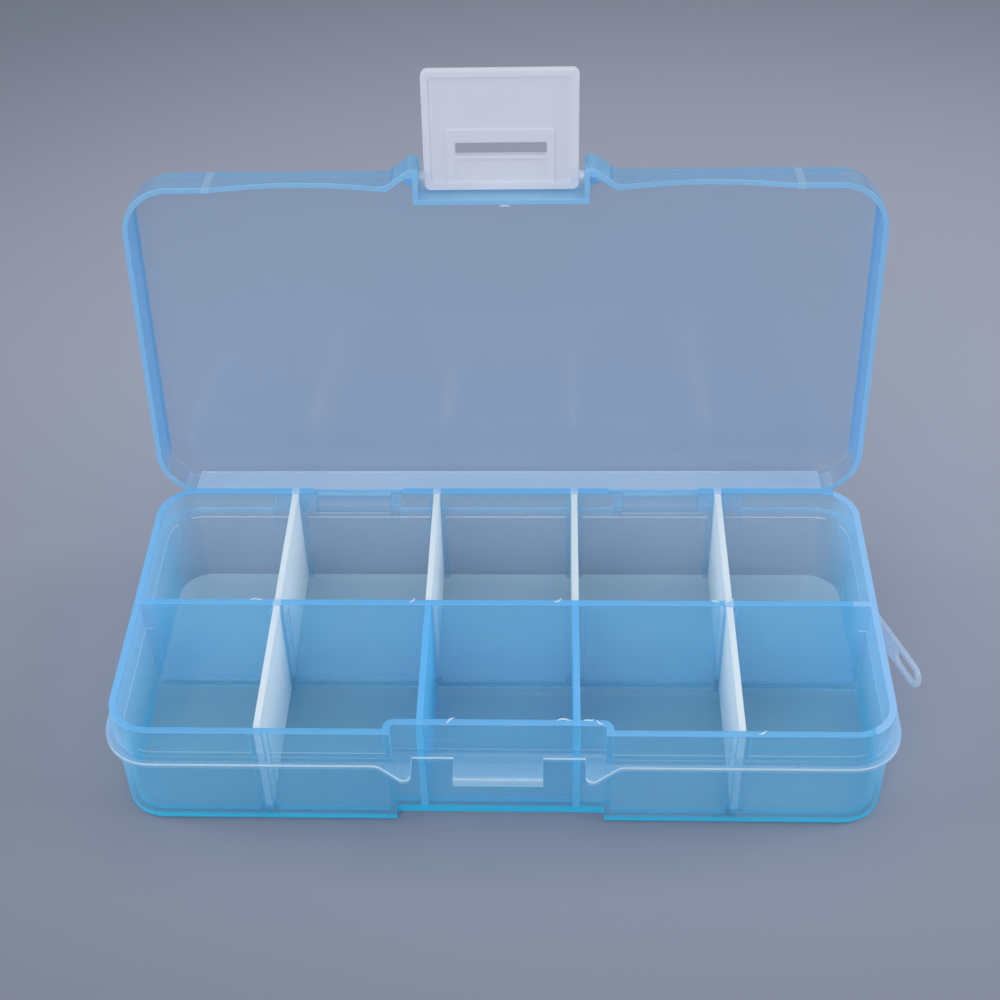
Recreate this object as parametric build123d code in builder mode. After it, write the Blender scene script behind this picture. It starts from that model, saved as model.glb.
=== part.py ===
from build123d import *
from math import cos, radians, sin
import os

# A small hinged-lid compartment box in moulded polypropylene, in millimetres.
# X runs along the box, -Y is the latch side and +Z is up. The origin is the
# centre of the tray's underside. The lid, the latch and the hang loop are drawn
# in their shut places and then turned about their axes to the open rest pose.

# Flange round the tray, which the lid's edge repeats
flange_length = 131.0
flange_width = 62.3
flange_corner = 8.7
flange_reach = 1.5
flange_thickness = 1.0

# Tray walls and heights
tray_height = 22.3
rim_height = 6.0
wall = 1.15
floor = 1.2
draft = 0.1
base_round = 0.7

# Dip in the back rim in front of each hinge
rim_dip = 0.8
rim_dip_start = 19.0
rim_dip_end = 35.6

# Recess in the front wall, notch in the flange and the lobes beside it
recess_width = 34.8
recess_depth = 2.1
recess_corner = 0.6
notch_width = 28.2
flange_notch_depth = 1.85
lobe_reach = 2.9
lobe_crest = 1.5
lobe_run = 4.0
lobe_round = 1.0
lobe_foot_round = 2.5

# Catch on the flange that the latch's slot takes
catch_width = 14.5
catch_reach = 4.4
catch_lip = 1.9
catch_lip_thickness = 1.0

# Compartments: a long wall, two fixed cross walls and slots for dividers
divider_inner = 12.7
divider_outer = 39.0
centre_wall = 1.15
fixed_wall = 1.1
divider_thickness = 1.1
divider_play = 0.12
divider_end_gap = 0.12
divider_foot_gap = 0.1
divider_top_drop = 0.2
divider_corner = 1.2
slot_rib = 0.9
slot_rib_reach = 1.0
slot_rib_drop = 1.3

# Lid
lid_seat_gap = 0.1
lid_head_gap = 0.2
lid_plate = 1.2
lid_skirt = 0.9
lid_edge_round = 0.6
lid_overhang = 0.25
lid_lobe_crest = 1.6
lid_notch_depth = 2.25
lid_relief = 2.0
lid_relief_chord = 29.5
lid_relief_place = 35.2
snap_rib_place = 50.5
snap_rib_width = 1.3
snap_rib_reach = 0.3
snap_rib_rise = 0.5

# Lid hinge behind the flange: knuckles with stub pins in the tray's ears
lid_open_angle = 97.8
hinge_offset = 1.72
hinge_drop = 0.82
hinge_pin = 0.85
hinge_play = 0.06
knuckle_radius = 1.6
knuckle_start = 21.9
knuckle_length = 14.0
knuckle_web_height = 4.0
ear_radius = 1.65
ear_side_gap = 0.2
inner_ear = 1.5
outer_ear = 7.8
outer_pin_length = 2.4
pin_end_gap = 0.3
ear_brace = 3.3
heel_length = 2.7
heel_gap = 0.07

# Latch: a plate on two trunnions between the lid's lobes
latch_width = 26.3
latch_thickness = 1.2
latch_foot = 1.75
latch_above_pivot = 2.15
latch_corner = 1.1
latch_border = 1.2
latch_border_height = 0.4
latch_pivot_drop = 3.1
latch_pivot_out = 0.35
latch_turn = 90.0
trunnion = 0.85
trunnion_play = 0.06
trunnion_length = 2.8
trunnion_boss = 1.5
trunnion_boss_length = 2.5
slot_side_play = 0.5
slot_height = 2.35
slot_top_play = 0.38
slot_frame = 1.4
slot_frame_above = 2.3
slot_frame_height = 0.2

# Hang loop on the right side, folded flat under the flange
loop_pin_place = 7.0
loop_pin_inset = 0.7
loop_pin = 0.4
loop_pin_length = 0.8
loop_play = 0.06
loop_knuckle = 0.75
loop_lug_radius = 0.85
loop_swing = 21.0
loop_thickness = 0.6
loop_height = 4.6
loop_top_gap = 0.4
loop_length = 17.5
loop_eye_length = 6.6
loop_eye_width = 2.8
loop_eye_border = 0.95
loop_axial_gap = 0.15
loop_lug = 1.2

# Levels and faces that several pieces share
flange_top = tray_height - rim_height
flange_bottom = flange_top - flange_thickness
half_length = flange_length / 2
half_width = flange_width / 2
rim_half_length = half_length - flange_reach
rim_half_width = half_width - flange_reach
rim_corner = flange_corner - flange_reach
inner_half_length = rim_half_length - wall
inner_half_width = rim_half_width - wall
inner_corner = rim_corner - wall
recess_face = -(rim_half_width - recess_depth)
flange_notch_face = -(half_width - flange_notch_depth)
skirt_bottom = flange_top + lid_seat_gap
plate_bottom = tray_height + lid_head_gap
lid_top = plate_bottom + lid_plate
hinge_y = half_width + hinge_offset
hinge_z = flange_top - hinge_drop
hinge_axis = Axis((0, hinge_y, hinge_z), (1, 0, 0))
knuckle_end = knuckle_start + knuckle_length
pocket_start = knuckle_start - ear_side_gap
pocket_end = knuckle_end + ear_side_gap
pivot_y = -(half_width + latch_pivot_out)
latch_pivot_height = lid_top - latch_pivot_drop
latch_axis = Axis((0, pivot_y, latch_pivot_height), (1, 0, 0))
latch_back = pivot_y + latch_thickness / 2
latch_front = pivot_y - latch_thickness / 2
slot_width = catch_width + 2 * slot_side_play
slot_top = flange_top + slot_top_play
loop_x = half_length - loop_pin_inset
loop_top = flange_bottom - loop_top_gap
loop_bottom = loop_top - loop_height
loop_axis = Axis((loop_x, loop_pin_place, 0), (0, 0, 1))
slot_half_gap = divider_thickness / 2 + divider_play
back_places = (-divider_outer, -divider_inner, divider_inner, divider_outer)
front_places = (-divider_outer, divider_outer)
fixed_places = (-divider_inner, divider_inner)


def shrink_at(height):
    """How far a drafted wall stands inside its place at the flange."""
    return draft * (1 - min(height, flange_bottom) / flange_bottom)


def block(low, high, mode=Mode.ADD):
    """A box between two corners, in the part being built."""
    size = [b - a for a, b in zip(low, high)]
    with Locations(tuple(low)):
        Box(*size, align=(Align.MIN, Align.MIN, Align.MIN), mode=mode)


def rod(side, start, length, place, radius, mode=Mode.ADD):
    """A round rod along X on the left or the right side; place is its y and z."""
    with Locations((side * (start + length / 2), *place)):
        Cylinder(radius, length, rotation=(0, 90, 0), mode=mode)


def across(side, start, length, place):
    """A plane facing along X at the low end of a piece on the left or the right side."""
    near = min(side * start, side * (start + length))
    return Plane(origin=(near, *place), x_dir=(0, 1, 0), z_dir=(1, 0, 0))


def edge_plan(notch_depth, overhang, crest_width, rounded):
    """The outline of the flange, and of the lid that hangs over it, with the latch notch and lobes."""
    notch_edge = notch_width / 2
    crest_edge = notch_edge + crest_width
    foot_edge = crest_edge + lobe_run
    front = half_width + overhang
    crest = -(front + lobe_reach)
    notch_half = lobe_reach + overhang + notch_depth
    inside = -half_width + flange_corner / 2
    with BuildSketch() as plan:
        with Locations((0, -overhang / 2)):
            RectangleRounded(flange_length + 2 * overhang, flange_width + overhang, flange_corner)
        for side in (-1, 1):
            with BuildLine():
                Polyline(
                    (side * notch_edge, inside),
                    (side * notch_edge, crest),
                    (side * crest_edge, crest),
                    (side * foot_edge, -front),
                    (side * foot_edge, inside),
                    close=True,
                )
            make_face()
        with Locations((0, crest)):
            Rectangle(notch_width, 2 * notch_half, mode=Mode.SUBTRACT)
        if rounded:
            fillet(plan.vertices().group_by(Axis.Y)[0], lobe_round)
            feet = [v for v in plan.vertices() if abs(abs(v.X) - foot_edge) < 0.01]
            fillet(feet, lobe_foot_round)
    return plan.sketch


def tray_cavity():
    """The air inside the tray, drafted below the flange and upright above it."""
    low = shrink_at(floor)
    with BuildPart() as cavity:
        with BuildSketch(Plane.XY.offset(floor)):
            RectangleRounded(
                2 * (inner_half_length - low), 2 * (inner_half_width - low), inner_corner - low
            )
        with BuildSketch(Plane.XY.offset(flange_bottom)):
            RectangleRounded(2 * inner_half_length, 2 * inner_half_width, inner_corner)
        loft()
        with BuildSketch(Plane.XY.offset(flange_bottom)):
            RectangleRounded(2 * inner_half_length, 2 * inner_half_width, inner_corner)
        extrude(amount=tray_height)
        with BuildSketch(Plane.XY):
            with Locations((0, -rim_half_width)):
                RectangleRounded(
                    recess_width + 2 * wall, 2 * (recess_depth + wall), recess_corner + wall
                )
        extrude(amount=2 * tray_height, mode=Mode.SUBTRACT)
    return cavity.part


def tray_outside(plan):
    """Drafted body, upright rim, front recess and the flange with its lobes."""
    with BuildPart() as body:
        with BuildSketch(Plane.XY):
            RectangleRounded(
                2 * (rim_half_length - draft), 2 * (rim_half_width - draft), rim_corner - draft
            )
        with BuildSketch(Plane.XY.offset(flange_bottom)):
            RectangleRounded(2 * rim_half_length, 2 * rim_half_width, rim_corner)
        loft()
        fillet(body.edges().group_by(Axis.Z)[0], base_round)
        with BuildSketch(Plane.XY.offset(flange_bottom)):
            RectangleRounded(2 * rim_half_length, 2 * rim_half_width, rim_corner)
        extrude(amount=tray_height - flange_bottom)
        with BuildSketch(Plane.XY):
            with Locations((0, -rim_half_width)):
                RectangleRounded(recess_width, 2 * recess_depth, recess_corner)
        extrude(amount=tray_height, mode=Mode.SUBTRACT)
        with BuildSketch(Plane.XY.offset(flange_bottom)):
            add(plan)
        extrude(amount=flange_thickness)
    return body.part


def hinge_ear(side, start, length, has_heel):
    """An ear: a round nose on a braced web, with a heel behind it where it stops the lid."""
    root = rim_half_width - wall / 2 - hinge_y
    rest = flange_top - hinge_z
    lean = radians(lid_open_angle - 90)
    level = hinge_offset - heel_gap
    corners = [(0, level), (heel_length, level), (heel_length, -level / 2), (0, -level)]
    heel = [(t * cos(lean) + n * sin(lean), n * cos(lean) - t * sin(lean)) for t, n in corners]
    with BuildPart() as ear:
        with BuildSketch(across(side, start, length, (hinge_y, hinge_z))):
            Circle(ear_radius)
            with BuildLine():
                Polyline(
                    (root, rest),
                    (-hinge_offset, rest),
                    (0, ear_radius * 0.97),
                    (0, -ear_radius),
                    (root, -ear_brace),
                    close=True,
                )
            make_face()
            if has_heel:
                with BuildLine():
                    Polyline(*heel, close=True)
                make_face()
        extrude(amount=length)
    return ear.part


def loop_lug_part():
    """The lug below the flange that holds the lower end of the hang loop's pin."""
    top = loop_bottom - loop_axial_gap
    root = rim_half_length - wall / 2
    with BuildPart() as lug:
        with BuildSketch(Plane.XY.offset(top - loop_lug)):
            with Locations((loop_x, loop_pin_place)):
                Circle(loop_lug_radius)
            with Locations(((loop_x + root) / 2, loop_pin_place)):
                Rectangle(loop_x - root, 2 * loop_lug_radius)
        extrude(amount=loop_lug)
    return lug.part


def add_catch():
    """The tab that the latch hooks over, with its lip turned down at the front."""
    front = flange_notch_face - catch_reach
    half = catch_width / 2
    block((-half, front, flange_bottom), (half, recess_face, flange_top))
    block((-half, front, flange_top - catch_lip), (half, front + catch_lip_thickness, flange_top))


def cut_hinge_bores():
    """Bores for the lid's stub pins, through the inner ears and blind in the outer ones."""
    outer_depth = outer_pin_length + pin_end_gap
    for side in (-1, 1):
        for start, length in ((pocket_start - inner_ear, inner_ear), (pocket_end, outer_depth)):
            rod(side, start, length, (hinge_y, hinge_z), hinge_pin + hinge_play, Mode.SUBTRACT)


def add_inner_walls():
    """The long centre wall and the two fixed cross walls of the front row."""
    reach = inner_half_length + wall / 4
    block((-reach, -centre_wall / 2, floor / 2), (reach, centre_wall / 2, tray_height))
    front = recess_face + wall / 2
    for place in fixed_places:
        low = (place - fixed_wall / 2, front, floor / 2)
        block(low, (place + fixed_wall / 2, 0, tray_height))


def add_slot_ribs():
    """Pairs of upright ribs that hold each divider at both of its ends."""
    top = tray_height - slot_rib_drop
    wall_rib = (inner_half_width - slot_rib_reach, inner_half_width + wall / 4)
    centre_rib = (0, centre_wall / 2 + slot_rib_reach)
    ribs = [(x, 1) for x in back_places] + [(x, -1) for x in front_places]
    for place, row in ribs:
        for near, far in (wall_rib, centre_rib):
            low_y, high_y = sorted((row * near, row * far))
            for side in (-1, 1):
                x = place + side * (slot_half_gap + slot_rib / 2)
                low = (x - slot_rib / 2, low_y, floor / 2)
                block(low, (x + slot_rib / 2, high_y, top))


def make_tray():
    """The tray with everything moulded on it."""
    outside = tray_outside(edge_plan(flange_notch_depth, 0, lobe_crest, True))
    cavity = tray_cavity()
    lug = loop_lug_part()
    ears = []
    for side in (-1, 1):
        ears.append(hinge_ear(side, pocket_start - inner_ear, inner_ear, False))
        ears.append(hinge_ear(side, pocket_end, outer_ear, True))
    lug_bottom = loop_bottom - loop_axial_gap - loop_lug
    pin_hole_top = loop_top + loop_top_gap + loop_pin_length + loop_axial_gap
    with BuildPart() as tray:
        add(outside)
        add_catch()
        for side in (-1, 1):
            low, high = sorted((side * pocket_start, side * pocket_end))
            far = half_width + flange_reach
            block((low, rim_half_width, flange_bottom), (high, far, flange_top), Mode.SUBTRACT)
        add(ears)
        add(lug)
        add(cavity, mode=Mode.SUBTRACT)
        add_inner_walls()
        add_slot_ribs()
        cut_hinge_bores()
        with Locations((loop_x, loop_pin_place, (lug_bottom + pin_hole_top) / 2)):
            Cylinder(loop_pin + loop_play, pin_hole_top - lug_bottom, mode=Mode.SUBTRACT)
        for side in (-1, 1):
            low, high = sorted((side * rim_dip_start, side * rim_dip_end))
            dip_bottom = tray_height - rim_dip
            inner = inner_half_width - wall / 4
            block((low, inner, dip_bottom), (high, half_width, tray_height), Mode.SUBTRACT)
    return tray.part


def make_divider(place, row):
    """A loose cross wall between the slot ribs; row is 1 at the back and -1 at the front."""
    bottom = floor + divider_foot_gap
    top = tray_height - divider_top_drop
    near = centre_wall / 2 + divider_end_gap
    foot = inner_half_width - shrink_at(bottom) - divider_end_gap
    far = inner_half_width - divider_end_gap
    plane = Plane(origin=(place, 0, 0), x_dir=(0, row, 0), z_dir=(row, 0, 0))
    with BuildPart() as divider:
        with BuildSketch(plane) as face:
            with BuildLine():
                Polyline(
                    (near, bottom),
                    (foot, bottom),
                    (far, flange_bottom),
                    (far, top),
                    (near, top),
                    close=True,
                )
            make_face()
            fillet(face.vertices().group_by(Axis.Y)[0], divider_corner)
        extrude(amount=divider_thickness / 2, both=True)
    return divider.part


def edge_relief(side):
    """The shallow arc cut from the lid's front edge beside the latch, where a nail lifts it."""
    start = side * lid_relief_place - lid_relief_chord / 2
    end = start + lid_relief_chord
    with BuildPart() as relief:
        with BuildSketch(Plane.XZ.offset(half_width - 2 * lid_skirt)):
            with BuildLine():
                ThreePointArc(
                    (start, skirt_bottom),
                    ((start + end) / 2, skirt_bottom + lid_relief),
                    (end, skirt_bottom),
                )
                Line((end, skirt_bottom), (start, skirt_bottom))
            make_face()
        extrude(amount=4 * lid_skirt)
    return relief.part


def knuckle_web(side):
    """The gusset that joins a knuckle to the outside of the lid's rear skirt."""
    skirt_middle = -hinge_offset - lid_skirt / 2
    low = skirt_bottom - hinge_z
    high = low + knuckle_web_height
    with BuildPart() as web:
        with BuildSketch(across(side, knuckle_start, knuckle_length, (hinge_y, hinge_z))):
            with BuildLine():
                Polyline(
                    (skirt_middle, low),
                    (0, 0),
                    (knuckle_radius * 0.97, 0),
                    (-hinge_offset, high),
                    (skirt_middle, high),
                    close=True,
                )
            make_face()
        extrude(amount=knuckle_length)
    return web.part


def lid_cavity(plan):
    """The air under the lid's plate, inside its skirt."""
    with BuildPart() as cavity:
        with BuildSketch(Plane.XY.offset(skirt_bottom)):
            add(plan)
            offset(amount=-lid_skirt, kind=Kind.INTERSECTION, mode=Mode.REPLACE)
        extrude(amount=plate_bottom - skirt_bottom)
    return cavity.part


def add_knuckles():
    """Knuckles on the hinge axis with a stub pin at each end."""
    place = (hinge_y, hinge_z)
    inner_reach = inner_ear + ear_side_gap
    for side in (-1, 1):
        rod(side, knuckle_start, knuckle_length, place, knuckle_radius)
        rod(side, knuckle_start - inner_reach, inner_reach, place, hinge_pin)
        rod(side, knuckle_end, outer_pin_length, place, hinge_pin)


def make_lid():
    """A thin plate with a skirt all round, drawn shut and turned up to its open stop."""
    outline = edge_plan(lid_notch_depth, lid_overhang, lid_lobe_crest, True)
    cavity = lid_cavity(edge_plan(lid_notch_depth, lid_overhang, lid_lobe_crest, False))
    reliefs = [edge_relief(side) for side in (-1, 1)]
    webs = [knuckle_web(side) for side in (-1, 1)]
    pivot = (pivot_y, latch_pivot_height)
    bore_depth = trunnion_boss_length - pin_end_gap
    inner_face = -half_width - lid_overhang + lid_skirt
    rib_bottom = skirt_bottom + snap_rib_rise
    with BuildPart() as lid:
        with BuildSketch(Plane.XY.offset(skirt_bottom)):
            add(outline)
        extrude(amount=lid_top - skirt_bottom)
        fillet(lid.edges().group_by(Axis.Z)[-1], lid_edge_round)
        add(cavity, mode=Mode.SUBTRACT)
        add(reliefs, mode=Mode.SUBTRACT)
        add(webs)
        add_knuckles()
        for side in (-1, 1):
            rod(side, notch_width / 2, trunnion_boss_length, pivot, trunnion_boss)
            rod(side, notch_width / 2, bore_depth, pivot, trunnion + trunnion_play, Mode.SUBTRACT)
            x = side * snap_rib_place - snap_rib_width / 2
            high = (x + snap_rib_width, inner_face + snap_rib_reach, plate_bottom + lid_plate / 2)
            block((x, inner_face - lid_skirt / 2, rib_bottom), high)
    return lid.part.rotate(hinge_axis, -lid_open_angle)


def slab(width, bottom, top, front, back, corner):
    """An upright rounded plate, centred on the latch."""
    with BuildPart() as plate:
        with BuildSketch(Plane.XZ.offset(-back)):
            with Locations((0, (bottom + top) / 2)):
                RectangleRounded(width, top - bottom, corner)
        extrude(amount=back - front)
    return plate.part


def make_latch():
    """The latch plate: thick border, slot in a raised frame, and its two trunnions."""
    bottom = latch_foot
    top = latch_pivot_height + latch_above_pivot
    raised = latch_back + latch_border_height
    frame_face = latch_back + slot_frame_height
    frame_width = slot_width + 2 * slot_frame
    frame_bottom = slot_top - slot_height - slot_frame_above
    inner_width = latch_width - 2 * latch_border
    root = top - latch_above_pivot + trunnion
    through = (latch_front - latch_thickness, frame_face + latch_thickness)
    plate = slab(latch_width, bottom, top, latch_front, raised, latch_corner)
    hollow = slab(inner_width, bottom + latch_border, root, latch_back, raised, latch_corner / 2)
    frame = slab(frame_width, frame_bottom, top, pivot_y, frame_face, slot_frame / 3)
    panel = slab(slot_width, slot_top + slot_frame / 2, root, latch_back, frame_face, slot_frame / 4)
    slot = slab(slot_width, slot_top - slot_height, slot_top, *through, slot_height / 8)
    reach = latch_width / 2 - latch_border / 2
    with BuildPart() as latch:
        add(plate)
        add(hollow, mode=Mode.SUBTRACT)
        add(frame)
        add(panel, mode=Mode.SUBTRACT)
        add(slot, mode=Mode.SUBTRACT)
        for side in (-1, 1):
            length = latch_border / 2 + trunnion_length
            rod(side, reach, length, (pivot_y, latch_pivot_height), trunnion)
    stood_up = latch.part.rotate(latch_axis, -latch_turn)
    return stood_up.rotate(hinge_axis, -lid_open_angle)


def make_hang_loop():
    """A thin upright tab with a long eye on a pin under the flange, swung out a little."""
    middle = (loop_top + loop_bottom) / 2
    tip = loop_pin_place - loop_length
    eye = tip + loop_eye_border + loop_eye_length / 2
    pin_top = loop_top + loop_top_gap + loop_pin_length
    pin_bottom = loop_bottom - loop_axial_gap - loop_lug
    with BuildPart() as loop:
        with BuildSketch(Plane.YZ.offset(loop_x)) as face:
            with Locations((loop_pin_place - loop_length / 2, middle)):
                Rectangle(loop_length, loop_height)
            fillet(face.vertices().group_by(Axis.X)[0], loop_height / 2 - loop_play)
            with Locations((eye, middle)):
                SlotOverall(loop_eye_length, loop_eye_width, mode=Mode.SUBTRACT)
        extrude(amount=loop_thickness / 2, both=True)
        with Locations((loop_x, loop_pin_place, middle)):
            Cylinder(loop_knuckle, loop_height)
        with Locations((loop_x, loop_pin_place, (pin_top + pin_bottom) / 2)):
            Cylinder(loop_pin, pin_top - pin_bottom)
    return loop.part.rotate(loop_axis, loop_swing)


def save(part, label):
    part.label = label
    export_step(part, f"parts/{label}.step")


os.makedirs("parts", exist_ok=True)
save(make_tray(), "tray")
save(make_lid(), "lid")
save(make_latch(), "latch")
save(make_hang_loop(), "hang_loop")
for number, place in enumerate(back_places, start=1):
    save(make_divider(place, 1), f"divider_back_{number}")
for name, place in zip(("left", "right"), front_places):
    save(make_divider(place, -1), f"divider_front_{name}")
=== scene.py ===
"""Looks for a small translucent compartment box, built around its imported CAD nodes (metres)."""
from math import cos, radians, sin

import bpy
from mathutils import Matrix, Vector


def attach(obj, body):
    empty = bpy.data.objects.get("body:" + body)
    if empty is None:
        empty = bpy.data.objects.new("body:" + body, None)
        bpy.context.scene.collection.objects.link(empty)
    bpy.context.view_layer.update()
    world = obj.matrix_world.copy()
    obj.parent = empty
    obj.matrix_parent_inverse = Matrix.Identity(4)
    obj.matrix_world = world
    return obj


# Places that the material masks use, in metres, as the CAD has them
RIM_TOP = 0.0223
FLOOR_TOP = 0.00125
FLANGE_TOP = 0.0163
FLANGE_HALF_LENGTH = 0.0655
FLANGE_HALF_WIDTH = 0.03115
FLANGE_CORNER = 0.0087
RIM_HALF_WIDTH = 0.02965
OUTER_DIVIDER = 0.039
INNER_DIVIDER = 0.0127
WALL_HALF = 0.0006
NOTCH_HALF = 0.0142
NOTCH_FACE = -0.0291
CATCH_FRONT = -0.0325
CATCH_HALF = 0.0073
CATCH_LIP = 0.0146
LID_EDGE = 0.0164
LID_PLATE = 0.0225
LID_TOP = 0.0237
LID_SIDE = 0.0646
LID_FRONT = -0.0302
LOBE_PLACE = 0.0160
SNAP_RIB = 0.0505
HINGE_Y = 0.03287
HINGE_Z = 0.01548
LID_OPEN = radians(97.8)

# Colours of the milky layers, most of them painted glow and highlights on edges and walls and
# painted light on floors; BLUE_DEEP is painted shade on the low front wall
BLUE_GLOW = (0.19, 0.60, 1.0)
BLUE_FOOT = (0.05, 0.70, 1.0)
BLUE_DEEP = (0.08, 0.42, 0.72)
BLUE_LIGHT = (0.42, 0.82, 1.0)
BLUE_WALL = (0.24, 0.68, 0.98)
FLOOR_LIGHT = (0.74, 0.90, 1.0)
FLOOR_BLUE = (0.50, 0.86, 1.0)
BLUE_CYAN = (0.20, 0.70, 1.0)
SIDE_GLOW = (0.52, 0.76, 1.0)
LID_GLOW = (0.36, 0.71, 1.0)
LINE_WHITE = (0.80, 0.95, 1.0)
WHITE = (0.97, 0.99, 1.0)
ICE = (0.70, 0.90, 1.0)
PALE = (0.66, 0.83, 1.0)

# The floor sheet lies a hair under the base, so that the two faces don't fight
FLOOR_LEVEL = -0.0001

# Camera that matches the photograph's view
CAMERA_PLACE = (0.00895, -0.20718, 0.23203)
CAMERA_FORWARD = (-0.0474, 0.7433, -0.6673)
CAMERA_ROLL_UP = (-0.0004, 0.6681, 0.7441)
CAMERA_LENS = 61.5
CAMERA_SHIFT = 0.0272

# Moulding burrs: the body they ride, middle and length in millimetres, turn in degrees
BURRS = (
    ("tray_body", (-42.7, 0.5, 22.38), 2.2, 12),
    ("tray_body", (-15.5, 0.3, 22.38), 1.5, 70),
    ("tray_body", (9.7, 0.5, 22.38), 1.7, 35),
    ("tray_body", (36.6, 0.4, 22.38), 1.5, -30),
    ("tray_body", (38.9, 0.4, 22.38), 1.9, 15),
    ("tray_body", (-7.7, -26.7, 22.38), 1.7, 40),
    ("tray_body", (10.6, -26.5, 22.38), 2.4, 8),
    ("tray_body", (14.6, -26.5, 22.38), 1.8, 20),
    ("tray_body", (16.3, -27.0, 22.38), 1.4, -35),
    ("tray_body", (42.1, -28.9, 22.38), 1.6, 20),
    ("lid_body", (0.6, 41.6, 75.7), 1.9, -10),
)


def nodes_of(name):
    """A new material, its node tree emptied, and its output node."""
    material = bpy.data.materials.new(name)
    material.use_nodes = True
    tree = material.node_tree
    tree.nodes.clear()
    output = tree.nodes.new("ShaderNodeOutputMaterial")
    return material, tree, output


def node(tree, kind, **values):
    """A node with its properties and input values set by name."""
    made = tree.nodes.new(kind)
    for key, value in values.items():
        if key in made.inputs:
            made.inputs[key].default_value = value
        else:
            setattr(made, key, value)
    return made


def maths(tree, operation, *values, clamp=False):
    """A Math node on values or sockets."""
    made = tree.nodes.new("ShaderNodeMath")
    made.operation = operation
    made.use_clamp = clamp
    for socket, value in zip(made.inputs, values):
        if isinstance(value, (int, float)):
            socket.default_value = value
        else:
            tree.links.new(value, socket)
    return made.outputs[0]


def mix_shader(tree, factor, first, second):
    """A Mix Shader whose factor is a value or a socket."""
    made = tree.nodes.new("ShaderNodeMixShader")
    if isinstance(factor, (int, float)):
        made.inputs[0].default_value = factor
    else:
        tree.links.new(factor, made.inputs[0])
    tree.links.new(first, made.inputs[1])
    tree.links.new(second, made.inputs[2])
    return made.outputs[0]


def milk(tree, colour, through_share, normal=None):
    """Light scattered by the plastic, back and through."""
    back = node(tree, "ShaderNodeBsdfDiffuse", Color=(*colour, 1.0))
    through = node(tree, "ShaderNodeBsdfTranslucent", Color=(*colour, 1.0))
    if normal:
        tree.links.new(normal, back.inputs["Normal"])
    return mix_shader(tree, through_share, back.outputs[0], through.outputs[0])


def noise(tree, coords, scale, detail=2.0, roughness=0.5):
    """A noise texture in the piece's own coordinates."""
    made = node(tree, "ShaderNodeTexNoise", Scale=scale, Detail=detail, Roughness=roughness)
    tree.links.new(coords.outputs["Object"], made.inputs["Vector"])
    return made.outputs["Fac"]


def parts_of(tree, vector):
    """The X, Y and Z sockets of a vector socket."""
    split = tree.nodes.new("ShaderNodeSeparateXYZ")
    tree.links.new(vector, split.inputs[0])
    return split.outputs["X"], split.outputs["Y"], split.outputs["Z"]


def painted_edge_glow(tree, bevel, geometry, gain):
    """A mask for painted glow on the edges, rising where the bevelled normal leaves the face's own.
    """
    turn = tree.nodes.new("ShaderNodeVectorMath")
    turn.operation = "DOT_PRODUCT"
    tree.links.new(bevel.outputs["Normal"], turn.inputs[0])
    tree.links.new(geometry.outputs["Normal"], turn.inputs[1])
    return maths(tree, "MULTIPLY_ADD", turn.outputs["Value"], -gain, gain, clamp=True)


def add_gloss(tree, shader, bump, roughness, most):
    """A shader under a clear gloss that grows at a slant, up to a share."""
    gloss = node(tree, "ShaderNodeBsdfGlossy", Color=(1.0, 1.0, 1.0, 1.0), Roughness=roughness)
    tree.links.new(bump.outputs["Normal"], gloss.inputs["Normal"])
    fresnel = node(tree, "ShaderNodeFresnel", IOR=1.45)
    sheen = maths(tree, "MINIMUM", fresnel.outputs[0], most)
    return mix_shader(tree, sheen, shader, gloss.outputs[0])


def near(tree, value, middle, half):
    """1 where a value is within half of the middle."""
    return maths(tree, "COMPARE", value, middle, half)


def above(tree, value, level):
    """1 where a value is over the level."""
    return maths(tree, "GREATER_THAN", value, level)


def below(tree, value, level):
    """1 where a value is under the level."""
    return maths(tree, "LESS_THAN", value, level)


def both(tree, *masks):
    """1 where all the masks are 1."""
    made = masks[0]
    for mask in masks[1:]:
        made = maths(tree, "MULTIPLY", made, mask)
    return made


def either(tree, *masks):
    """1 where any of the masks is 1."""
    made = masks[0]
    for mask in masks[1:]:
        made = maths(tree, "MAXIMUM", made, mask)
    return made


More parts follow.
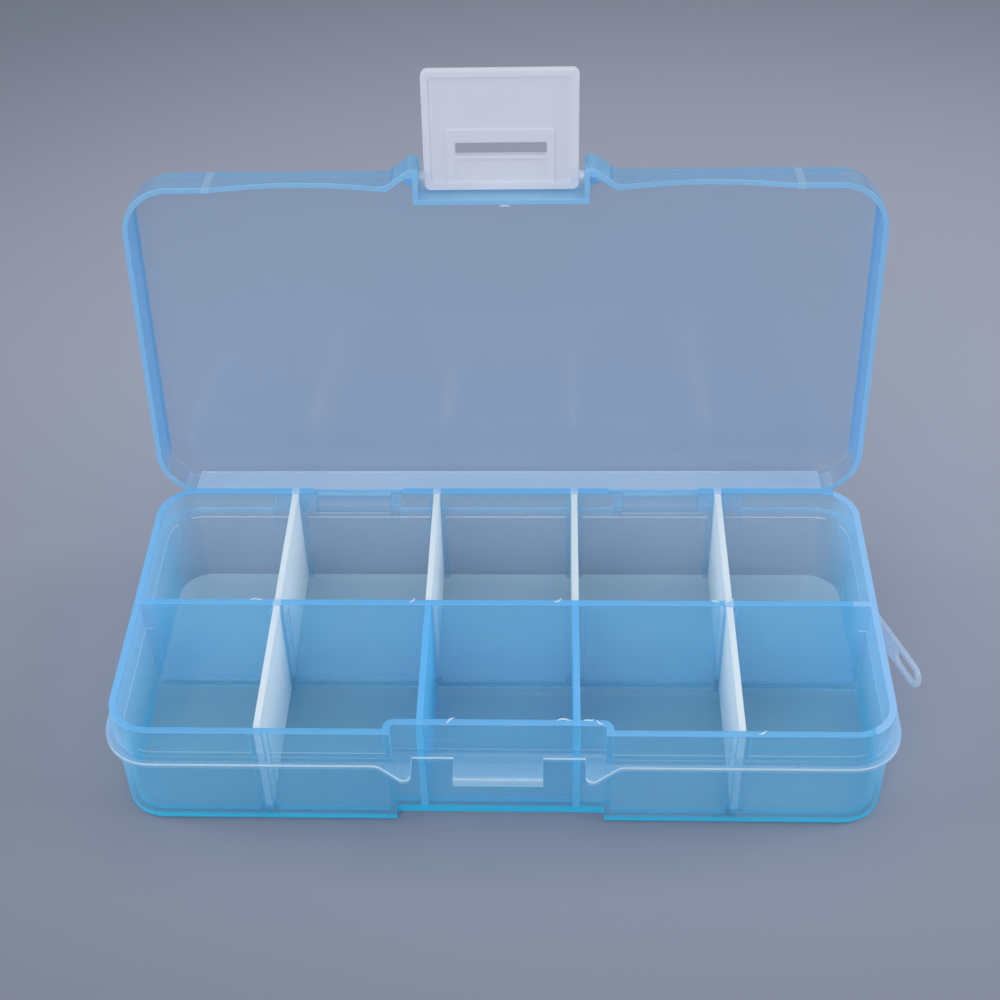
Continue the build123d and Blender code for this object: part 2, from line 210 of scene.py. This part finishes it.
def plastic(name, tint, body, facing, grazing, edge, layers=None, roughness=0.14, seed=1.0):
    """Thin moulded plastic: tinted see-through, milk that grows at a slant, painted glow on the
    edges and gloss.
    """
    material, tree, output = nodes_of(name)
    links = tree.links
    coords = tree.nodes.new("ShaderNodeTexCoord")
    geometry = tree.nodes.new("ShaderNodeNewGeometry")
    bevel = node(tree, "ShaderNodeBevel", samples=6, Radius=0.0003)
    grain = noise(tree, coords, 1900.0, 3.0, 0.6)
    height = maths(tree, "MULTIPLY_ADD", grain, 0.1, noise(tree, coords, 80 * seed))
    bump = node(tree, "ShaderNodeBump", Strength=0.16, Distance=0.0004)
    links.new(height, bump.inputs["Height"])
    links.new(bevel.outputs["Normal"], bump.inputs["Normal"])

    clear = node(tree, "ShaderNodeBsdfTransparent", Color=(*tint, 1.0))
    slant = node(tree, "ShaderNodeLayerWeight", Blend=0.5)
    curve = maths(tree, "POWER", slant.outputs["Facing"], 2.0)
    amount = maths(tree, "MULTIPLY_ADD", curve, grazing - facing, facing)
    cloudy = maths(tree, "MULTIPLY_ADD", noise(tree, coords, 26.0 * seed, 3.0, 0.55), 0.1, -0.05)
    amount = maths(tree, "ADD", amount, cloudy, clamp=True)
    cloud = milk(tree, body, 0.4, bump.outputs["Normal"])
    shader = mix_shader(tree, amount, clear.outputs[0], cloud)

    # Painted glow on every edge: milk of the edge colour laid where the bevel turns
    edge_colour, edge_strength = edge
    rim = painted_edge_glow(tree, bevel, geometry, 3.0 * edge_strength)
    shader = mix_shader(tree, rim, shader, milk(tree, edge_colour, 0.5))

    for mask, colour, strength, through in layers(tree, coords, geometry) if layers else ():
        factor = maths(tree, "MULTIPLY", mask, strength)
        laid = milk(tree, colour, through) if colour else clear.outputs[0]
        shader = mix_shader(tree, factor, shader, laid)

    links.new(add_gloss(tree, shader, bump, roughness, 0.16), output.inputs["Surface"])
    return material


def tray_layers(tree, coords, geometry):
    """Painted light carried to the tray's edges, as glow on the wall tops, foot, flange rim, catch
    and divider ends; also painted glow on the side and cross walls, painted light on the floors and
    painted shade on the back and low front walls.
    """
    along, y, z = parts_of(tree, coords.outputs["Object"])
    x, y_size = maths(tree, "ABSOLUTE", along), maths(tree, "ABSOLUTE", y)
    _, _, normal_z = parts_of(tree, geometry.outputs["True Normal"])
    upright = below(tree, maths(tree, "ABSOLUTE", normal_z), 0.5)

    across = maths(tree, "SUBTRACT", x, FLANGE_HALF_LENGTH - FLANGE_CORNER)
    across = maths(tree, "POWER", maths(tree, "MAXIMUM", across, 0.0), 2.0)
    depth = maths(tree, "SUBTRACT", y_size, FLANGE_HALF_WIDTH - FLANGE_CORNER)
    depth = maths(tree, "POWER", maths(tree, "MAXIMUM", depth, 0.0), 2.0)
    square = maths(tree, "ADD", across, depth)
    outside = above(tree, maths(tree, "SQRT", square), FLANGE_CORNER - 0.0006)

    top = above(tree, z, RIM_TOP - 0.00022)
    # Painted glow along the foot, fading towards the back
    foot = both(tree, maths(tree, "MULTIPLY_ADD", z, -1000.0, 2.1, clamp=True), upright)
    painted_light_fade = maths(tree, "MULTIPLY_ADD", y, -30.0, 0.5, clamp=True)
    foot = both(tree, either(tree, foot, near(tree, z, 0.0006, 0.00056)), painted_light_fade)
    low_front = both(tree, below(tree, y, -0.0285), near(tree, z, 0.0085, 0.0064))
    right_top = both(tree, top, above(tree, along, 0.0600))
    notch = both(tree, below(tree, x, NOTCH_HALF), below(tree, y, NOTCH_FACE))
    notch = both(tree, notch, above(tree, y, -0.0312))
    line = both(tree, near(tree, z, FLANGE_TOP - 0.0002, 0.00024), either(tree, outside, notch))
    line = both(tree, line, upright)
    catch = both(tree, below(tree, y, CATCH_FRONT), below(tree, x, CATCH_HALF))
    catch = both(tree, catch, below(tree, z, FLANGE_TOP))
    shelf = both(tree, near(tree, z, FLANGE_TOP, 0.0011), outside)
    outer_end = near(tree, x, OUTER_DIVIDER, 0.0007)
    inner_end = near(tree, x, INNER_DIVIDER, 0.0007)
    back_rim = above(tree, y, RIM_HALF_WIDTH - 0.0013)
    centre = near(tree, y, 0.0, WALL_HALF)
    back_ends = both(tree, either(tree, outer_end, inner_end), back_rim)
    ends = either(tree, back_ends, both(tree, outer_end, centre))
    ends = both(tree, ends, above(tree, z, RIM_TOP - 0.002))
    low = below(tree, z, RIM_TOP - 0.0015)
    back_wall = both(tree, back_rim, low, below(tree, y, RIM_HALF_WIDTH + 0.0001))
    base = both(tree, below(tree, z, FLOOR_TOP), maths(tree, "SUBTRACT", 1.0, upright))
    cross_wall = both(tree, near(tree, x, INNER_DIVIDER, WALL_HALF), below(tree, y, 0.0))
    side_wall = both(
        tree,
        maths(tree, "MULTIPLY_ADD", x, 250.0, -14.9, clamp=True),
        maths(tree, "MULTIPLY_ADD", z, 100.0, -0.5, clamp=True),
    )
    outer_wall = either(tree, above(tree, y_size, 0.0280), above(tree, x, 0.0615))
    seam = both(tree, near(tree, z, FLANGE_TOP - 0.00015, 0.00013), outer_wall, upright)
    return (
        # Back wall: most of its milk taken away as painted shade, then a faint pale veil as painted
        # light
        (back_wall, None, 0.7, 0.0),
        (back_wall, PALE, 0.13, 0.4),
        # Painted glow on the side walls
        (side_wall, SIDE_GLOW, 0.45, 0.4),
        (centre, BLUE_WALL, 0.16, 0.4),
        # Painted glow on the cross walls, strongest at their front ends
        (cross_wall, BLUE_CYAN, 0.45, 0.5),
        (both(tree, cross_wall, below(tree, y, -0.0272)), BLUE_CYAN, 0.6, 0.5),
        # Painted light on the compartment floors, more at the back
        (both(tree, base, above(tree, y, 0.0)), FLOOR_LIGHT, 0.58, 0.3),
        (both(tree, base, below(tree, y, 0.0)), FLOOR_BLUE, 0.3, 0.3),
        # Painted glow on the wall tops, and a painted highlight on the right wall's top
        (top, BLUE_GLOW, 0.7, 0.4),
        (right_top, SIDE_GLOW, 0.5, 0.4),
        # Painted shade: deeper blue over the low front wall
        (low_front, BLUE_DEEP, 0.14, 0.4),
        (foot, BLUE_FOOT, 0.95, 0.4),
        # Painted highlights: pale flange shelf, white seam and white flange line
        (shelf, PALE, 0.12, 0.4),
        (seam, WHITE, 0.6, 0.4),
        (line, LINE_WHITE, 0.9, 0.3),
        # Painted light on the catch tab, stronger under its lip
        (catch, ICE, 0.3, 0.4),
        (both(tree, catch, below(tree, z, CATCH_LIP)), ICE, 0.5, 0.4),
        # Painted light on the wall tops at the divider ends
        (ends, PALE, 0.7, 0.4),
    )


def lid_layers(tree, coords, geometry):
    """Painted light carried to the lid's edges, found from its places when it is shut."""
    along, y, z = parts_of(tree, coords.outputs["Object"])
    x = maths(tree, "ABSOLUTE", along)
    c, s = cos(LID_OPEN), sin(LID_OPEN)
    shut_y = maths(tree, "MULTIPLY_ADD", y, c, HINGE_Y * (1 - c) + HINGE_Z * s)
    shut_y = maths(tree, "MULTIPLY_ADD", z, -s, shut_y)
    shut_z = maths(tree, "MULTIPLY_ADD", y, s, HINGE_Z * (1 - c) - HINGE_Y * s)
    shut_z = maths(tree, "MULTIPLY_ADD", z, c, shut_z)
    edge = both(tree, below(tree, shut_z, LID_EDGE + 0.0003), below(tree, shut_y, 0.0312))
    own = tree.nodes.new("ShaderNodeVectorTransform")
    own.vector_type, own.convert_from, own.convert_to = "NORMAL", "WORLD", "OBJECT"
    tree.links.new(geometry.outputs["True Normal"], own.inputs[0])
    _, normal_y, normal_z = parts_of(tree, own.outputs[0])
    down = maths(tree, "MULTIPLY_ADD", normal_y, s, maths(tree, "MULTIPLY", normal_z, c))
    front = below(tree, shut_y, LID_FRONT)
    edge = either(tree, edge, both(tree, front, below(tree, down, -0.6)))
    side = above(tree, x, LID_SIDE)
    corner = both(tree, above(tree, shut_z, LID_TOP - 0.0006), either(tree, front, side))
    skirt = both(tree, near(tree, shut_y, 0.0306, 0.0006), below(tree, shut_z, LID_PLATE + 0.0001))
    snap = both(tree, near(tree, x, SNAP_RIB, 0.00065), below(tree, shut_y, -0.0304))
    lobe = both(tree, near(tree, x, LOBE_PLACE, 0.0024), below(tree, shut_y, -0.0312))
    notch = both(tree, below(tree, x, 0.0155), near(tree, shut_y, -0.0284, 0.0007))
    return (
        # Painted highlight on the skirt band; painted glow on the sides, corners and edges; painted
        # highlights on the notch, lobes and snap ribs
        (skirt, PALE, 0.95, 0.4),
        (side, BLUE_GLOW, 0.4, 0.5),
        (front, BLUE_WALL, 0.12, 0.5),
        (corner, BLUE_GLOW, 0.45, 0.5),
        (notch, BLUE_LIGHT, 0.5, 0.5),
        (lobe, BLUE_LIGHT, 0.35, 0.5),
        (edge, LID_GLOW, 0.8, 0.4),
        (snap, ICE, 0.28, 0.5),
    )


def milky_plastic(name, colour, clear_share, roughness):
    """Thick milky plastic that lets a little light through, with painted glow on its edges."""
    material, tree, output = nodes_of(name)
    links = tree.links
    coords = tree.nodes.new("ShaderNodeTexCoord")
    bevel = node(tree, "ShaderNodeBevel", samples=6, Radius=0.0003)
    bump = node(tree, "ShaderNodeBump", Strength=0.12, Distance=0.0002)
    links.new(noise(tree, coords, 600.0, 3.0, 0.6), bump.inputs["Height"])
    links.new(bevel.outputs["Normal"], bump.inputs["Normal"])
    ramp = tree.nodes.new("ShaderNodeValToRGB")
    ramp.color_ramp.elements[0].color = (*[c * 0.97 for c in colour], 1.0)
    ramp.color_ramp.elements[1].color = (*colour, 1.0)
    links.new(noise(tree, coords, 120.0), ramp.inputs["Fac"])
    diffuse = node(tree, "ShaderNodeBsdfDiffuse")
    through = node(tree, "ShaderNodeBsdfTranslucent")
    for shader in (diffuse, through):
        links.new(ramp.outputs["Color"], shader.inputs["Color"])
    links.new(bump.outputs["Normal"], diffuse.inputs["Normal"])
    body = mix_shader(tree, 0.35, diffuse.outputs[0], through.outputs[0])
    clear = node(tree, "ShaderNodeBsdfTransparent", Color=(0.92, 0.95, 1.0, 1.0))
    slant = node(tree, "ShaderNodeLayerWeight", Blend=0.5)
    share = maths(tree, "MULTIPLY_ADD", slant.outputs["Facing"], -clear_share, clear_share)
    body = mix_shader(tree, share, body, clear.outputs[0])
    # Painted glow on the edges
    rim = painted_edge_glow(tree, bevel, tree.nodes.new("ShaderNodeNewGeometry"), 1.8)
    body = mix_shader(tree, rim, body, milk(tree, (0.9, 0.93, 1.0), 0.4))
    links.new(add_gloss(tree, body, bump, roughness, 0.2), output.inputs["Surface"])
    return material


def add_burr(number, body, place, length, angle, material):
    """A curl of moulding flash, a few tapered links long, lying on its piece."""
    steps = 7
    middle = Vector(place) / 1000
    turn = Matrix.Rotation(radians(angle), 3, "Z")
    points = []
    for step in range(steps + 1):
        t = step / steps - 0.5
        bend = 0.10 * cos(4.5 * t + number)
        lift = 0.04 * (1 + sin(5 * t + 2 * number))
        half = 0.13 * (1 - (2 * t) ** 2) + 0.03
        centre = Vector((t * length, bend * length, lift)) / 1000
        side = Vector((0, half, 0.1 * half)) / 1000
        points += [middle + turn @ (centre - side), middle + turn @ (centre + side)]
    faces = [(2 * i, 2 * i + 2, 2 * i + 3, 2 * i + 1) for i in range(steps)]
    mesh = bpy.data.meshes.new(f"burr_{number}")
    mesh.from_pydata(points, [], faces)
    burr = bpy.data.objects.new(f"burr_{number}", mesh)
    bpy.context.scene.collection.objects.link(burr)
    thick = burr.modifiers.new("thick", "SOLIDIFY")
    thick.thickness = 0.00005
    mesh.materials.append(material)
    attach(burr, body)


def add_camera():
    """The photograph's camera: position, direction, roll and framing."""
    data = bpy.data.cameras.new("camera")
    data.sensor_width = 36.0
    data.lens = CAMERA_LENS
    data.shift_x = CAMERA_SHIFT
    data.clip_start = 0.01
    data.clip_end = 20.0
    camera = bpy.data.objects.new("camera", data)
    bpy.context.scene.collection.objects.link(camera)
    back = -Vector(CAMERA_FORWARD).normalized()
    right = Vector(CAMERA_ROLL_UP).cross(back).normalized()
    up = back.cross(right)
    turn = Matrix((right, up, back)).transposed().to_4x4()
    camera.matrix_world = Matrix.Translation(CAMERA_PLACE) @ turn
    bpy.context.scene.camera = camera


def add_floor():
    """A plain grey-blue sheet, a little lighter round the box, where a pool of light is painted."""
    mesh = bpy.data.meshes.new("floor")
    half = 3.0
    plan = (-half, -half), (half, -half), (half, half), (-half, half)
    mesh.from_pydata([(x, y, FLOOR_LEVEL) for x, y in plan], [], [(0, 1, 2, 3)])
    floor = bpy.data.objects.new("floor", mesh)
    bpy.context.scene.collection.objects.link(floor)
    material, tree, output = nodes_of("floor_paper")
    coords = tree.nodes.new("ShaderNodeTexCoord")
    # Painted pool of light: the sheet is lighter round the box and darker further out
    painted_light_pool = node(tree, "ShaderNodeMapping", vector_type="TEXTURE")
    painted_light_pool.inputs["Location"].default_value = (0.03, 0.104, 0.0)
    painted_light_pool.inputs["Scale"].default_value = (0.32, 0.25, 1.0)
    tree.links.new(coords.outputs["Object"], painted_light_pool.inputs["Vector"])
    painted_light_fade = node(tree, "ShaderNodeTexGradient", gradient_type="SPHERICAL")
    tree.links.new(painted_light_pool.outputs[0], painted_light_fade.inputs["Vector"])
    ramp = tree.nodes.new("ShaderNodeValToRGB")
    ramp.color_ramp.interpolation = "EASE"
    ramp.color_ramp.elements[0].color = (0.158, 0.181, 0.233, 1.0)
    ramp.color_ramp.elements[1].position = 0.8
    ramp.color_ramp.elements[1].color = (0.320, 0.346, 0.438, 1.0)
    tree.links.new(painted_light_fade.outputs["Fac"], ramp.inputs["Fac"])
    shader = node(tree, "ShaderNodeBsdfPrincipled", Roughness=0.75)
    shader.inputs["Specular IOR Level"].default_value = 0.2
    tree.links.new(ramp.outputs["Color"], shader.inputs["Base Color"])
    tree.links.new(shader.outputs[0], output.inputs["Surface"])
    mesh.materials.append(material)


def add_lamp(name, place, aim, size, power):
    """A square soft white lamp at a place, aimed at a point."""
    data = bpy.data.lights.new(name, "AREA")
    data.shape = "SQUARE"
    data.size = size
    data.energy = power
    lamp = bpy.data.objects.new(name, data)
    bpy.context.scene.collection.objects.link(lamp)
    direction = Vector(aim) - Vector(place)
    turn = direction.to_track_quat("-Z", "Y").to_matrix().to_4x4()
    lamp.matrix_world = Matrix.Translation(place) @ turn


def add_world():
    """An even pale sky."""
    world = bpy.data.worlds.new("sky")
    bpy.context.scene.world = world
    world.use_nodes = True
    background = world.node_tree.nodes["Background"]
    background.inputs["Color"].default_value = (0.95, 0.97, 1.0, 1.0)
    background.inputs["Strength"].default_value = 0.38


def set_material(name, material):
    """Gives a CAD node its finish."""
    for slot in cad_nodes[name].material_slots:
        slot.material = material


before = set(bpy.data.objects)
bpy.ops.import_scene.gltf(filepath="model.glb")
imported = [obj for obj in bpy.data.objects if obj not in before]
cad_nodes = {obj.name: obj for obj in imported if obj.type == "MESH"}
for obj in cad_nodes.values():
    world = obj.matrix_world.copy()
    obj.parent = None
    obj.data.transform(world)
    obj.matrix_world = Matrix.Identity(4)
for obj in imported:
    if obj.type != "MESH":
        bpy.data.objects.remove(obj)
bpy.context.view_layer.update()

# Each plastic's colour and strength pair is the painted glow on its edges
blue_tray = plastic(
    "blue_tray",
    (0.94, 0.98, 1.0),
    (0.17, 0.66, 0.97),
    0.12,
    0.72,
    ((0.35, 0.75, 1.0), 0.5),
    tray_layers,
)
blue_lid = plastic(
    "blue_lid", (0.94, 0.98, 1.0), (0.34, 0.56, 0.86), 0.13, 0.6, (BLUE_GLOW, 0.6), lid_layers
)
natural = plastic(
    "natural_dividers", (0.95, 0.98, 1.0), (0.92, 0.98, 1.0), 0.78, 0.95, (ICE, 0.4), seed=1.7
)
clear_loop = plastic(
    "natural_loop",
    (0.95, 0.97, 1.0),
    (0.74, 0.84, 0.97),
    0.32,
    0.8,
    ((0.92, 0.97, 1.0), 1.1),
    seed=2.3,
)
white = milky_plastic("milky_latch", (0.91, 0.92, 1.0), 0.02, 0.3)

set_material("tray", blue_tray)
set_material("lid", blue_lid)
set_material("latch", white)
set_material("hang_loop", clear_loop)
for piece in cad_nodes:
    if piece.startswith("divider"):
        set_material(piece, natural)
for index, burr in enumerate(BURRS, start=1):
    add_burr(index, *burr, natural)

add_camera()
add_floor()
add_world()
add_lamp("key", (0.15, 0.30, 0.9), (0.0, 0.0, 0.0), 0.7, 1.2)
add_lamp("left", (-0.9, 0.05, 0.5), (0.0, 0.0, 0.02), 0.6, 4.2)
add_lamp("right", (0.9, 0.05, 0.5), (0.0, 0.0, 0.02), 0.6, 4.8)
add_lamp("fill", (-0.2, -1.0, 0.55), (0.0, 0.03, 0.03), 0.8, 6.5)
bpy.context.scene.cycles.transparent_max_bounces = 32
bpy.context.scene.view_settings.view_transform = "Standard"
